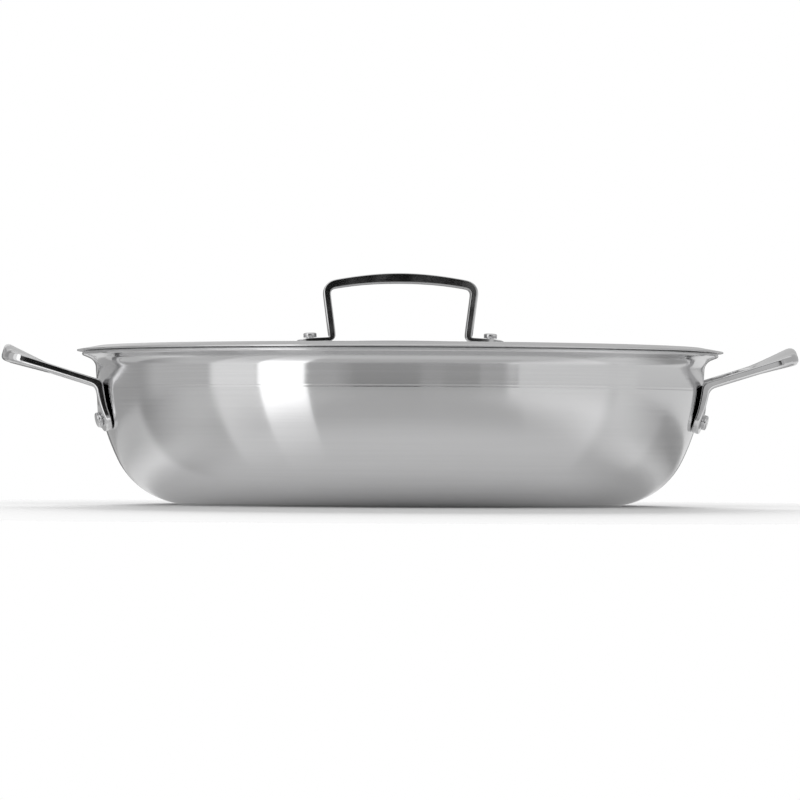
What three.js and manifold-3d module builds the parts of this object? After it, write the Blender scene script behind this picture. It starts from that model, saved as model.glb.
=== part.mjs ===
// Stainless steel casserole pan with two side handles and a lid.
// Millimetres, +Z up. The origin is the middle of the base, on the surface that the pan stands on,
// and the side handles lie along X.

import * as THREE from "three";
import { mergeVertices } from "three/addons/utils/BufferGeometryUtils.js";
import Module from "manifold-3d";

const wasm = await Module();
wasm.setup();
const { degToRad, lerp, smoothstep } = THREE.MathUtils;
const { cos, sin, tan, PI } = Math;

// Pan wall, measured on its outer face
const baseRadius = 105;
const cornerRadius = 40;
const cornerTurn = degToRad(64);
const sideRadius = 110;
const creaseHeight = 57.8;
const bandLean = degToRad(3.2);
const bandHeight = 10.2;
const flareRadius = 5.5;
const lipRise = degToRad(22);
const lipLength = 4.1;

// Clad sheet of the pan, from outside to inside
const outerSteel = 0.5;
const aluminiumCore = 1;
const innerSteel = 0.5;
const bondLine = 0.05;

// Gap between pieces that touch, and the play of the lid in the mouth of the pan
const clearance = 0.3;
const lidPlay = 1.4;

// Side handles: how far they stand out from the wall, and how far below the crease they bend and end
const handleLength = 48.9;
const handleTilt = degToRad(18);
const bendDrop = 2;
const footDrop = 21;
const footSpread = 30;
const footWidth = 15;
const footThickness = 3;
const bendRadius = 4.5;
const legSpread = 36.3;
const legWidth = 8;
const legThickness = 4;
const gripCorner = 12;
const slotCorner = 5;
const gripWidth = 24;
const gripThickness = 6.5;
const gripCrown = 2;
const gripBelly = 0.7;
const gripBow = 2.5;

// Rivets of the side handles, each some way above the end of its foot
const sideRivetRise = 6;
const sideRivet = { shank: 2.5, head: 3.7, headHeight: 2.3, button: 4.6, buttonHeight: 1.4 };

// Lid
const lidSheet = 0.8;
const lidOverhang = 2.2;
const lidSlope = degToRad(10);
const lidBend = 2;
const lidStep = 6.6;
const domeSlope = degToRad(7.7);

// Lid handle
const bailLegReach = 34.4;
const bailLegLean = 3;
const bailFootLength = 17.3;
const bailRivetInset = 6.7;
const bailRise = 33.8;
const bailArch = 4;
const bailHeel = 3.5;
const bailCorner = 8;
const bailFootWidth = 15;
const bailLegWidth = 10;
const bailBarWidth = 14;
const bailTipThickness = 1.1;
const bailFootThickness = 1.9;
const bailLegThickness = 3.6;
const bailBarThickness = 4.6;

// Rivets of the lid handle
const lidRivet = { shank: 1.8, head: 3.3, headHeight: 2.4, button: 3.4, buttonHeight: 1.1 };

// Share of the height of a rivet's head that is straight, and how far round the end of a foot is drawn
const headRim = 0.4;
const footRound = degToRad(75);

// Fineness of the round shapes
const panFacets = 48;
const rivetFacets = 12;
const cornerSteps = 5;
const sideSteps = 3;
const roundSteps = 3;
const bendSteps = 4;
const loopSteps = 6;
const sectionPoints = 12;

const wallDepth = outerSteel + aluminiumCore + innerSteel + 2 * bondLine;

/** Numbers from 0 to 1 in equal steps, both ends included. */
function fractions(steps) {
  return Array.from({ length: steps + 1 }, (_, i) => i / steps);
}

/** Direction of a line that rises by an angle, in the plane of radius and height. */
function along(angle) {
  return new THREE.Vector2(cos(angle), sin(angle));
}

/** Direction to the right of that line, which is outward on the wall of the pan. */
function outward(angle) {
  return new THREE.Vector2(sin(angle), -cos(angle));
}

/** Point at a distance from another in a direction. */
function offset(point, direction, distance) {
  return point.clone().addScaledVector(direction, distance);
}

/** Closed mesh as a solid that can be joined and cut. */
function solidOf(geometry) {
  const bare = geometry.clone();
  bare.deleteAttribute("normal");
  bare.deleteAttribute("uv");
  const merged = mergeVertices(bare, 1e-4);
  return new wasm.Manifold(
    new wasm.Mesh({
      numProp: 3,
      vertProperties: merged.getAttribute("position").array,
      triVerts: new Uint32Array(merged.index.array),
    }),
  );
}

/** Mesh geometry of a solid. */
function geometryOf(solid) {
  const mesh = solid.getMesh();
  const geometry = new THREE.BufferGeometry();
  geometry.setAttribute("position", new THREE.BufferAttribute(mesh.vertProperties, mesh.numProp));
  geometry.setIndex(new THREE.BufferAttribute(mesh.triVerts, 1));
  geometry.computeVertexNormals();
  return geometry;
}

/** Outline of radius and height turned about the upright axis. */
function turned(outline, facets) {
  return new THREE.LatheGeometry(outline, facets).rotateX(PI / 2);
}

/** Points round a rounded rectangle section, as shares of its width and thickness. */
function sectionShares() {
  const fullness = 2 * Math.sqrt(cos(PI / sectionPoints));
  const share = (value) => (Math.sign(value) * Math.sqrt(Math.abs(value))) / fullness;
  return Array.from({ length: sectionPoints }, (_, k) => {
    const angle = (2 * PI * (k + 0.5)) / sectionPoints;
    return { across: share(cos(angle)), up: share(sin(angle)) };
  });
}

/**
 * Bar with a rounded section that follows a row of stations.
 * A station has its middle, the way its upper face looks, a width and a thickness,
 * and where its section isn't square to the row, the way across it too.
 */
function loft(stations) {
  const last = stations.length - 1;
  const positions = [];
  stations.forEach(({ middle, face, across: slant, width, thickness }, i) => {
    const before = stations[Math.max(i - 1, 0)].middle;
    const after = stations[Math.min(i + 1, last)].middle;
    const square = face.clone().cross(after.clone().sub(before));
    const across = (slant ?? square).clone().normalize();
    const up = face.clone().normalize();
    for (const share of sectionShares()) {
      const point = offset(offset(middle, across, width * share.across), up, thickness * share.up);
      positions.push(...point.toArray());
    }
  });
  const indices = [];
  for (let i = 0; i < last; i += 1) {
    for (let k = 0; k < sectionPoints; k += 1) {
      const a = i * sectionPoints + k;
      const b = i * sectionPoints + ((k + 1) % sectionPoints);
      indices.push(a, b, b + sectionPoints, a, b + sectionPoints, a + sectionPoints);
    }
  }
  const end = last * sectionPoints;
  for (let k = 1; k < sectionPoints - 1; k += 1) {
    indices.push(0, k + 1, k, end, end + k, end + k + 1);
  }
  const geometry = new THREE.BufferGeometry();
  geometry.setAttribute("position", new THREE.Float32BufferAttribute(positions, 3));
  geometry.setIndex(indices);
  return geometry;
}

/** Stations of a whole loop from those of one half, whose last one lies on the plane of symmetry. */
function bothHalves(half, flip) {
  const other = half.slice(0, -1).reverse();
  const mirrored = other.map((station) => ({
    ...station,
    middle: station.middle.clone().multiply(flip),
    face: station.face.clone().multiply(flip),
    across: station.across?.clone().multiply(flip),
  }));
  return [...half, ...mirrored];
}

/** Matrix that stands a piece made along Z on a point, looking in a direction. */
function standing(point, direction) {
  const turn = new THREE.Quaternion().setFromUnitVectors(new THREE.Vector3(0, 0, 1), direction);
  return new THREE.Matrix4().compose(point, turn, new THREE.Vector3(1, 1, 1));
}

/** Named piece of bare metal. */
function piece(name, geometry, { color, roughness }) {
  const material = new THREE.MeshStandardMaterial({ color, roughness, metalness: 1 });
  const mesh = new THREE.Mesh(geometry, material);
  mesh.name = name;
  return mesh;
}

const satinSteel = { color: 0xb4b4b5, roughness: 0.3 };
const polishedSteel = { color: 0xc6c6c7, roughness: 0.12 };
const bareAluminium = { color: 0xcfd0d2, roughness: 0.45 };

// Arcs of the outer face of the wall, in radius and height

const cornerCentre = new THREE.Vector2(baseRadius, cornerRadius);
const sideCentre = offset(cornerCentre, outward(cornerTurn), cornerRadius - sideRadius);
const sideTurn = Math.acos((sideCentre.y - creaseHeight) / sideRadius);
const creaseRadius = sideCentre.x + sideRadius * sin(sideTurn);
const bandAngle = PI / 2 - bandLean;
const bandTop = creaseHeight + bandHeight;

/** Outer face of the wall at a height between its base and its flare: radius and angle of rise. */
function wallAt(height) {
  if (height > creaseHeight) {
    return { radius: creaseRadius + (height - creaseHeight) * tan(bandLean), angle: bandAngle };
  }
  const onCorner = height < cornerRadius * (1 - cos(cornerTurn));
  const [centre, radius] = onCorner ? [cornerCentre, cornerRadius] : [sideCentre, sideRadius];
  const angle = Math.acos((centre.y - height) / radius);
  return { radius: centre.x + radius * sin(angle), angle };
}

/** Point at a distance outside the outer face of the wall, in radius and height. */
function outsideWall(height, distance) {
  const { radius, angle } = wallAt(height);
  return offset(new THREE.Vector2(radius, height), outward(angle), distance);
}

/** Points of the outer face from the axis to the lip, each with the angle that the face rises at. */
function wallPoints() {
  const points = [
    { at: new THREE.Vector2(0, 0), angle: 0 },
    { at: new THREE.Vector2(baseRadius, 0), angle: 0 },
  ];
  for (const f of fractions(cornerSteps).slice(1)) {
    const angle = cornerTurn * f;
    points.push({ at: offset(cornerCentre, outward(angle), cornerRadius), angle });
  }
  for (const f of fractions(sideSteps).slice(1, -1)) {
    const angle = lerp(cornerTurn, sideTurn, f);
    points.push({ at: offset(sideCentre, outward(angle), sideRadius), angle });
  }
  const crease = new THREE.Vector2(creaseRadius, creaseHeight);
  points.push({ at: crease, angle: (sideTurn + bandAngle) / 2 });
  const flareStart = new THREE.Vector2(wallAt(bandTop).radius, bandTop);
  const flareCentre = offset(flareStart, outward(bandAngle), flareRadius);
  for (const f of fractions(roundSteps)) {
    const angle = lerp(bandAngle, lipRise, f);
    points.push({ at: offset(flareCentre, outward(angle), -flareRadius), angle });
  }
  const lipStart = points.at(-1).at;
  points.push({ at: offset(lipStart, along(lipRise), lipLength), angle: lipRise });
  return points;
}

const wall = wallPoints();
const lipEdge = wall.at(-1).at;

/** Outline of the wall at a depth inside its outer face. */
function wallOutline(depth) {
  return wall.map(({ at, angle }) => offset(at, outward(angle), -depth));
}

// Rivets

/** Outline of a rivet head from its edge, on its seat, to the middle of its dome. */
function headOutline(radius, seat, height) {
  const shoulder = headRim * height;
  const dome = fractions(roundSteps).map((f) => {
    const angle = (f * PI) / 2;
    return new THREE.Vector2(radius * cos(angle), seat + shoulder + (height - shoulder) * sin(angle));
  });
  dome.at(-1).x = 0;
  return [new THREE.Vector2(radius, seat), ...dome];
}

/** Rivet along Z: the seat of its head is at Z 0, and its button closes below the grip. */
function rivetGeometry(sizes, grip) {
  const outline = [
    ...headOutline(sizes.button, -grip, -sizes.buttonHeight).reverse(),
    new THREE.Vector2(sizes.shank, -grip),
    new THREE.Vector2(sizes.shank, 0),
    ...headOutline(sizes.head, 0, sizes.headHeight),
  ];
  return turned(outline, rivetFacets);
}

/** Drill for the hole of a rivet, along Z and well past both ends of its grip. */
function drillGeometry(sizes, grip) {
  const radius = sizes.shank + clearance;
  const drill = new THREE.CylinderGeometry(radius, radius, 3 * grip, rivetFacets);
  return drill.rotateX(PI / 2).translate(0, 0, -grip / 2);
}

/** Solid with a rivet's hole drilled at each of several places. */
function drilled(solid, sizes, grip, places) {
  return places.reduce(
    (rest, place) => rest.subtract(solidOf(drillGeometry(sizes, grip).applyMatrix4(place))),
    solid,
  );
}

/** Gap under a flat button that keeps its edge clear of a hollow wall of some curvature and facets. */
function seatGap(button, wallRadius, facetSag) {
  return clearance + facetSag + button ** 2 / (2 * wallRadius);
}

// Side handles

const bendHeight = creaseHeight - bendDrop;
const footEnd = creaseHeight - footDrop;
const handleReach = wallAt(bendHeight).radius + handleLength;
const sideRivetHeight = footEnd + sideRivetRise;
const sideRivetSeat = clearance + footThickness + clearance;
const facetSag = creaseRadius * (1 - cos(PI / panFacets));
const stepSag = sideRadius * (1 - cos((sideTurn - cornerTurn) / (2 * sideSteps)));
const buttonGap = seatGap(sideRivet.button, sideRadius, facetSag + stepSag);
const sideRivetGrip = sideRivetSeat + wallDepth + buttonGap;
const handleSides = [
  { side: "right", turn: 0, rivets: { front: -1, back: 1 } },
  { side: "left", turn: PI, rivets: { front: 1, back: -1 } },
];

/** Place of a rivet of the handle at +X, on the side of Y that a sign names. */
function sideRivetPlace(sign) {
  const seat = outsideWall(sideRivetHeight, sideRivetSeat);
  const normal = outward(wallAt(sideRivetHeight).angle);
  const yaw = Math.asin((sign * footSpread) / seat.x);
  return standing(
    new THREE.Vector3(seat.x * cos(yaw), seat.x * sin(yaw), seat.y),
    new THREE.Vector3(normal.x * cos(yaw), normal.x * sin(yaw), normal.y),
  );
}

/** Places of the rivets of both side handles. */
function allSideRivetPlaces() {
  return handleSides.flatMap(({ turn, rivets }) => {
    const about = new THREE.Matrix4().makeRotationZ(turn);
    return Object.values(rivets).map((sign) => sideRivetPlace(sign).premultiply(about));
  });
}

/** One layer of the clad sheet between two depths inside the outer face, drilled for the rivets. */
function layerGeometry(outerDepth, innerDepth) {
  const outline = [...wallOutline(outerDepth), ...wallOutline(innerDepth).reverse()];
  const layer = solidOf(turned(outline, panFacets));
  return geometryOf(drilled(layer, sideRivet, sideRivetGrip, allSideRivetPlaces()));
}

/** Station of a leg on the wall, from its radius and height and the angle that it rises at. */
function wallStation(at, angle, { spread, width, thickness }) {
  const yaw = Math.asin(spread / at.x);
  return {
    middle: new THREE.Vector3(at.x * cos(yaw), spread, at.y),
    face: new THREE.Vector3(-sin(angle) * cos(yaw), -sin(angle) * sin(yaw), cos(angle)),
    width,
    thickness,
  };
}

/** Stations of a foot on the wall, from its round end past the rivet to the bend. */
function footStations() {
  const onWall = (height, sizes) => {
    const at = outsideWall(height, clearance + sizes.thickness / 2);
    return wallStation(at, wallAt(height).angle, sizes);
  };
  const end = fractions(roundSteps).map((f) => {
    const turn = footRound * (1 - f);
    const width = footWidth * cos(turn);
    const height = sideRivetHeight - sideRivetRise * sin(turn);
    return onWall(height, { spread: footSpread, width, thickness: footThickness });
  });
  const rise = fractions(bendSteps).slice(1).map((f) =>
    onWall(lerp(sideRivetHeight, bendHeight, f), {
      spread: lerp(footSpread, legSpread, f),
      width: lerp(footWidth, legWidth, smoothstep(f, 0, 1)),
      thickness: lerp(footThickness, legThickness, f),
    }),
  );
  return [...end, ...rise];
}

/** Stations of the bend from the wall to the leg: round below, and a corner where its upper faces meet. */
function bendStations() {
  const centre = outsideWall(bendHeight, clearance + legThickness + bendRadius);
  const start = wallAt(bendHeight).angle;
  return fractions(bendSteps).slice(1).map((f) => {
    const angle = lerp(start, handleTilt, f);
    const outer = (bendRadius + legThickness) / cos(Math.min(start - angle, angle - handleTilt));
    const at = offset(centre, outward(angle), -(outer + bendRadius) / 2);
    const thickness = outer - bendRadius;
    return wallStation(at, angle, { spread: legSpread, width: legWidth, thickness });
  });
}

/** Stations of half of the loop: the leg, the corner and the grip as far as its middle. */
function gripStations(start) {
  const slope = new THREE.Vector3(cos(handleTilt), 0, sin(handleTilt));
  const face = new THREE.Vector3(-sin(handleTilt), 0, cos(handleTilt));
  const onPlane = ({ x, y }) => offset(start, slope, x).setY(y);
  const station = (inside, outside, thickness) => {
    const across = onPlane(outside).sub(onPlane(inside));
    const middle = onPlane(inside.clone().lerp(outside, 0.5));
    return { middle, face, across, width: across.length(), thickness };
  };
  const crownedThickness = gripThickness + gripCrown + gripBelly;
  const gripEnd = (gripWidth * cos(handleTilt) + crownedThickness * sin(handleTilt)) / 2;
  const gripReach = (handleReach - gripBow - gripEnd - start.x) / cos(handleTilt);
  const slotLength = gripReach - gripWidth / 2;
  const slotRound = Math.min(slotCorner, slotLength / 2);
  const legInside = legSpread - legWidth / 2;
  const legOutside = legSpread + legWidth / 2;
  const slotCentre = new THREE.Vector2(slotLength - slotRound, legInside - slotRound);
  const gripOutside = gripReach + gripWidth / 2;
  const loopCentre = new THREE.Vector2(gripOutside - gripCorner, legOutside - gripCorner);
  const legMiddle = slotCentre.x / 2;
  const stations = [
    station(
      new THREE.Vector2(legMiddle, legInside),
      new THREE.Vector2(legMiddle, legOutside),
      legThickness,
    ),
  ];
  for (const f of fractions(loopSteps)) {
    const ray = along((PI / 2) * (1 - f));
    const inside = offset(slotCentre, ray, slotRound);
    const outside = offset(loopCentre, ray, gripCorner);
    stations.push(station(inside, outside, lerp(legThickness, gripThickness, f)));
  }
  const gripStart = stations.at(-1).middle.y;
  for (const f of fractions(roundSteps).slice(1)) {
    const rise = 1 - (1 - f) ** 2;
    const middle = onPlane(new THREE.Vector2(gripReach + gripBow * rise, gripStart * (1 - f)));
    stations.push({
      middle: offset(middle, face, ((gripCrown - gripBelly) * rise) / 2),
      face,
      width: gripWidth,
      thickness: gripThickness + (gripCrown + gripBelly) * rise,
    });
  }
  return stations;
}

/** Side handle at +X, drilled for its rivets. */
function sideHandleGeometry() {
  const bend = bendStations();
  const half = [...footStations(), ...bend, ...gripStations(bend.at(-1).middle)];
  const loop = solidOf(loft(bothHalves(half, new THREE.Vector3(1, -1, 1))));
  const places = [sideRivetPlace(-1), sideRivetPlace(1)];
  return geometryOf(drilled(loop, sideRivet, sideRivetGrip, places));
}

// Lid

const lipCrest = offset(lipEdge, outward(lipRise), -wallDepth);
const lidRadius = lipEdge.x + lidOverhang;
const lidSeat = lipCrest.y + clearance + lidSheet / 2 / cos(lidSlope);
const lidEdge = new THREE.Vector2(lidRadius, lidSeat - (lidRadius - lipCrest.x) * tan(lidSlope));
const skirtRadius = wallAt(bandTop).radius - wallDepth - lidPlay;
const crestX = skirtRadius + lidBend;
const crestRise = (lidRadius - crestX - lidBend * sin(lidSlope)) * tan(lidSlope);
const crestCentre = new THREE.Vector2(crestX, lidEdge.y + crestRise - lidBend * cos(lidSlope));
const grooveCentre = new THREE.Vector2(skirtRadius - lidBend, crestCentre.y + 2 * lidBend - lidStep);
const domeEdge = offset(grooveCentre, outward(-domeSlope), lidBend);
const domeRadius = domeEdge.x / sin(domeSlope);
const domeCentre = domeEdge.y - domeRadius * cos(domeSlope);

/** Points of the middle of the lid's sheet, from its edge to the axis, each with its angle. */
function lidPoints() {
  const points = [{ at: lidEdge, angle: -lidSlope }];
  for (const f of fractions(roundSteps)) {
    const angle = lerp(-lidSlope, PI / 2, f);
    points.push({ at: offset(crestCentre, outward(angle), -lidBend), angle });
  }
  for (const f of fractions(bendSteps)) {
    const angle = lerp(PI / 2, -domeSlope, f);
    points.push({ at: offset(grooveCentre, outward(angle), lidBend), angle });
  }
  for (const f of fractions(bendSteps).slice(1)) {
    const angle = domeSlope * (1 - f);
    const at = new THREE.Vector2(domeRadius * sin(angle), domeCentre + domeRadius * cos(angle));
    points.push({ at, angle: -angle });
  }
  return points;
}

/** Face of the lid at a height over the middle of its sheet. */
function lidFace(height) {
  return lidPoints().map(({ at, angle }) => offset(at, outward(angle), -height));
}

/** Height of the top of the lid's dome at a distance from the axis. */
function domeTop(distance) {
  return domeCentre + Math.sqrt((domeRadius + lidSheet / 2) ** 2 - distance ** 2);
}

const bailRivetReach = bailLegReach + bailFootLength - bailRivetInset;
const bailShoulderReach = bailLegReach + bailLegLean;
const lidRivetSeat = clearance + bailFootThickness + clearance;
const lidRivetGrip = lidRivetSeat + lidSheet + seatGap(lidRivet.button, domeRadius, 0);
const footLean = Math.asin(bailRivetReach / (domeRadius + lidSheet / 2));

/** Place of a rivet of the lid handle, on the side of X that a sign names. */
function lidRivetPlace(sign) {
  const normal = new THREE.Vector3(sign * sin(footLean), 0, cos(footLean));
  const foot = new THREE.Vector3(sign * bailRivetReach, 0, domeTop(bailRivetReach));
  return standing(offset(foot, normal, lidRivetSeat), normal);
}

/** Lid, drilled for its rivets. */
function lidGeometry() {
  const outline = [...lidFace(-lidSheet / 2).reverse(), ...lidFace(lidSheet / 2)];
  const lid = solidOf(turned(outline, panFacets));
  return geometryOf(drilled(lid, lidRivet, lidRivetGrip, [lidRivetPlace(-1), lidRivetPlace(1)]));
}

/** Path of half of the lid handle in X and Z, with its sizes, from a foot to the middle of the bar. */
function bailPath() {
  const rivetFoot = new THREE.Vector2(bailRivetReach, domeTop(bailRivetReach));
  const onFoot = (reach, thickness) => {
    const slid = offset(rivetFoot, along(-footLean), (reach - bailRivetReach) / cos(footLean));
    return offset(slid, along(PI / 2 - footLean), clearance + thickness / 2);
  };
  const barMiddle = domeTop(0) + bailRise - bailBarThickness / 2;
  const barHeight = (x) => barMiddle - bailArch * (x / bailShoulderReach) ** 2;
  const heel = onFoot(bailLegReach, bailFootThickness);
  const shoulder = new THREE.Vector2(bailShoulderReach, barHeight(bailShoulderReach));
  const leg = shoulder.clone().sub(heel).normalize();
  const heelStart = onFoot(bailLegReach + bailHeel, bailFootThickness);
  const heelEnd = offset(heel, leg, bailHeel);
  const cornerStart = offset(shoulder, leg, -bailCorner);
  const cornerEndX = bailShoulderReach - bailCorner;
  const cornerEnd = new THREE.Vector2(cornerEndX, barHeight(cornerEndX));
  const heelRound = new THREE.QuadraticBezierCurve(heelStart, heel, heelEnd);
  const cornerRound = new THREE.QuadraticBezierCurve(cornerStart, shoulder, cornerEnd);
  const path = fractions(roundSteps).map((f) => {
    const turn = footRound * (1 - f);
    const thickness = lerp(bailTipThickness, bailFootThickness, f);
    const reach = bailRivetReach + bailRivetInset * sin(turn);
    return { at: onFoot(reach, thickness), width: bailFootWidth * cos(turn), thickness };
  });
  for (const f of fractions(bendSteps)) {
    path.push({
      at: heelRound.getPoint(f),
      width: lerp((bailFootWidth + bailLegWidth) / 2, bailLegWidth, f),
      thickness: lerp(bailFootThickness, bailLegThickness, f),
    });
  }
  for (const f of fractions(loopSteps)) {
    path.push({
      at: cornerRound.getPoint(f),
      width: lerp(bailLegWidth, (bailLegWidth + bailBarWidth) / 2, f),
      thickness: lerp(bailLegThickness, (bailLegThickness + bailBarThickness) / 2, f),
    });
  }
  for (const f of fractions(roundSteps).slice(1)) {
    const x = cornerEndX * (1 - f);
    const swell = (1 + smoothstep(f, 0, 1)) / 2;
    path.push({
      at: new THREE.Vector2(x, barHeight(x)),
      width: lerp(bailLegWidth, bailBarWidth, swell),
      thickness: lerp(bailLegThickness, bailBarThickness, swell),
    });
  }
  return path;
}

/** Lid handle, drilled for its rivets. */
function bailGeometry() {
  const path = bailPath();
  const half = path.map(({ at, width, thickness }, i) => {
    const before = path[Math.max(i - 1, 0)].at;
    const after = path[i + 1]?.at ?? new THREE.Vector2(-before.x, before.y);
    const way = after.clone().sub(before);
    const middle = new THREE.Vector3(at.x, 0, at.y);
    return { middle, face: new THREE.Vector3(way.y, 0, -way.x), width, thickness };
  });
  const bail = solidOf(loft(bothHalves(half, new THREE.Vector3(-1, 1, 1))));
  return geometryOf(drilled(bail, lidRivet, lidRivetGrip, [lidRivetPlace(-1), lidRivetPlace(1)]));
}

// Assembly

const casserole = new THREE.Group();
const coreDepth = outerSteel + bondLine;
const linerDepth = coreDepth + aluminiumCore + bondLine;
casserole.add(piece("pan_outer_layer", layerGeometry(0, outerSteel), satinSteel));
casserole.add(piece("pan_core_layer", layerGeometry(coreDepth, coreDepth + aluminiumCore), bareAluminium));
casserole.add(piece("pan_inner_layer", layerGeometry(linerDepth, linerDepth + innerSteel), satinSteel));

for (const { side, turn, rivets } of handleSides) {
  const mounting = new THREE.Group();
  mounting.rotation.z = turn;
  mounting.add(piece(`side_handle_${side}`, sideHandleGeometry(), polishedSteel));
  for (const [place, sign] of Object.entries(rivets)) {
    const geometry = rivetGeometry(sideRivet, sideRivetGrip);
    const rivet = piece(`side_rivet_${side}_${place}`, geometry, polishedSteel);
    rivet.applyMatrix4(sideRivetPlace(sign));
    mounting.add(rivet);
  }
  casserole.add(mounting);
}

const lid = new THREE.Group();
lid.add(piece("lid_cover", lidGeometry(), polishedSteel));
lid.add(piece("lid_handle", bailGeometry(), polishedSteel));
for (const [side, sign] of Object.entries({ left: -1, right: 1 })) {
  const rivet = piece(`lid_rivet_${side}`, rivetGeometry(lidRivet, lidRivetGrip), polishedSteel);
  rivet.applyMatrix4(lidRivetPlace(sign));
  lid.add(rivet);
}
casserole.add(lid);

export default casserole;
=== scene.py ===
"""Stainless steel casserole pan with two side handles and a lid, in a plain pale studio.

Sizes are in millimetres and are turned to metres where a mesh is made. The origin is the middle of the
base, on the surface that the pan stands on, and the side handles lie along X.
"""

import logging
from dataclasses import dataclass, field
from enum import Enum
from itertools import pairwise
from math import acos, asin, cos, pi, radians, sin, sqrt, tan
from typing import NamedTuple

import bmesh
import bpy
from mathutils import Matrix, Quaternion, Vector


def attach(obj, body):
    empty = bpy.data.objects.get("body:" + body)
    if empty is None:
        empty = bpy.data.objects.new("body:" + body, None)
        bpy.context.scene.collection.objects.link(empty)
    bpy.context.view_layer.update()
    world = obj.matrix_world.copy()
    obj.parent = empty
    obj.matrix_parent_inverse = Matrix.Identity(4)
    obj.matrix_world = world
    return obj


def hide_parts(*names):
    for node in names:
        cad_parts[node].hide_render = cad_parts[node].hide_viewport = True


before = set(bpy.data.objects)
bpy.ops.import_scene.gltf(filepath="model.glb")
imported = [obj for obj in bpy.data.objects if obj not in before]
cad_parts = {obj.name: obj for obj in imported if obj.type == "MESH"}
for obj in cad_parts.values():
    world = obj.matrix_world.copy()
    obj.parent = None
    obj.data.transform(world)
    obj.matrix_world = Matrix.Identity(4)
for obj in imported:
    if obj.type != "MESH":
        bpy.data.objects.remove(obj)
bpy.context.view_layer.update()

MM = 0.001
PAN_BODY = "pan"
LID_BODY = "lid"

# Distance under which doubles merge, in millimetres, and the angle past which a turned edge stays sharp
MERGE_REACH = 0.001
SHARP_TURN = radians(50)

# Points of a bar's section: the share of it that edges may take, and where its flats are held straight
EDGE_ROOM = 0.94
EDGE_STEPS = 3
FLAT_STOPS = (0.92, 0.46, 0.0, -0.46, -0.92)
SIDE_STOPS = (0.12, 0.88)
ROUNDING_LEVELS = 2

# Range of the marks' pattern that counts, its finer layers, and a quarter turn of the stretched gloss
MARK_LOW, MARK_HIGH = 0.25, 0.75
MARK_DETAIL = 3.0
QUARTER_TURN = 0.25

# Steps of the pan's wall
CORNER_STEPS = 14
SIDE_STEPS = 8
FLARE_STEPS = 9
LIP_STEPS = 6

# Steps of the rivets, the lid and the handles
CAP_STEPS = 9
FOOT_STEPS = 5
BEND_STEPS = 5
LOOP_STEPS = 7
GRIP_STEPS = 4
LEG_STOPS = (1 / 3, 2 / 3)
LID_BEND_STEPS = 7
DOME_STEPS = 12
LID_EDGE_STEPS = 8

log = logging.getLogger("casserole")


class Grain(Enum):
    """Way that the polishing marks of a metal run."""

    TURNED = "round the upright axis"
    BUFFED = "in all directions"


class FacePoint(NamedTuple):
    """Point of a turned face in radius and height, with the angle that the face rises at."""

    at: Vector
    angle: float


def shares(steps: int) -> list[float]:
    """Return numbers from 0 to 1 in equal steps, both ends included."""
    return [step / steps for step in range(steps + 1)]


def lerp(start: float, end: float, share: float) -> float:
    """Return the number that lies a share of the way between two others."""
    return start + (end - start) * share


def ease(share: float) -> float:
    """Return a share that leaves 0 and reaches 1 without a kink."""
    return share * share * (3 - 2 * share)


def along(angle: float) -> Vector:
    """Return the direction of a line that rises by an angle, in radius and height."""
    return Vector((cos(angle), sin(angle)))


def outward(angle: float) -> Vector:
    """Return the direction to the right of that line, which is outward on the pan's wall."""
    return Vector((sin(angle), -cos(angle)))


def standing(point: Vector, direction: Vector) -> Matrix:
    """Return the placing, in metres, of a piece made along Z on a point, looking in a direction."""
    turn = Vector((0, 0, 1)).rotation_difference(direction).to_matrix().to_4x4()
    return Matrix.Translation(point * MM) @ turn


def deselect_all() -> None:
    """Leave edit mode, if it is on, and deselect every object."""
    if bpy.context.mode != "OBJECT":
        bpy.ops.object.mode_set(mode="OBJECT")
    bpy.ops.object.select_all(action="DESELECT")


def pick(piece: bpy.types.Object) -> None:
    """Select one object alone and make it the active one.

    Args:
        piece: Object to select.
    """
    deselect_all()
    piece.select_set(True)
    bpy.context.view_layer.objects.active = piece


def close_up(piece: bpy.types.Object, smooth_angle: float) -> None:
    """Merge a mesh's doubles in edit mode, point its faces outwards and shade it smooth.

    Args:
        piece: Object that is being edited.
        smooth_angle: Angle between faces past which an edge stays sharp.
    """
    bpy.ops.mesh.select_all(action="SELECT")
    bpy.ops.mesh.remove_doubles(threshold=MERGE_REACH * MM)
    bpy.ops.mesh.normals_make_consistent(inside=False)
    bpy.ops.object.mode_set(mode="OBJECT")
    pick(piece)
    bpy.ops.object.shade_smooth_by_angle(angle=smooth_angle)


def turn_outline(name: str, outline: list[Vector], steps: int) -> bpy.types.Object:
    """Spin an outline that starts and ends on the upright axis into a closed piece.

    Args:
        name: Name of the piece.
        outline: Points in radius and height, in millimetres.
        steps: Count of the facets round the axis.

    Returns:
        The finished object.
    """
    points = [Vector((point.x * MM, 0, point.y * MM)) for point in outline]
    deselect_all()
    bpy.ops.mesh.primitive_plane_add(size=MM)
    piece = bpy.context.object
    piece.name = name
    piece.data.name = name
    bpy.ops.object.mode_set(mode="EDIT")
    bpy.ops.mesh.select_all(action="SELECT")
    bpy.ops.mesh.merge(type="CENTER")
    bpy.ops.transform.translate(value=points[0])
    for before, after in pairwise(points):
        bpy.ops.mesh.extrude_vertices_move(TRANSFORM_OT_translate={"value": after - before})
    bpy.ops.mesh.select_all(action="SELECT")
    bpy.ops.mesh.spin(steps=steps, angle=2 * pi, center=(0, 0, 0), axis=(0, 0, 1))
    close_up(piece, smooth_angle=SHARP_TURN)
    return piece


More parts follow.
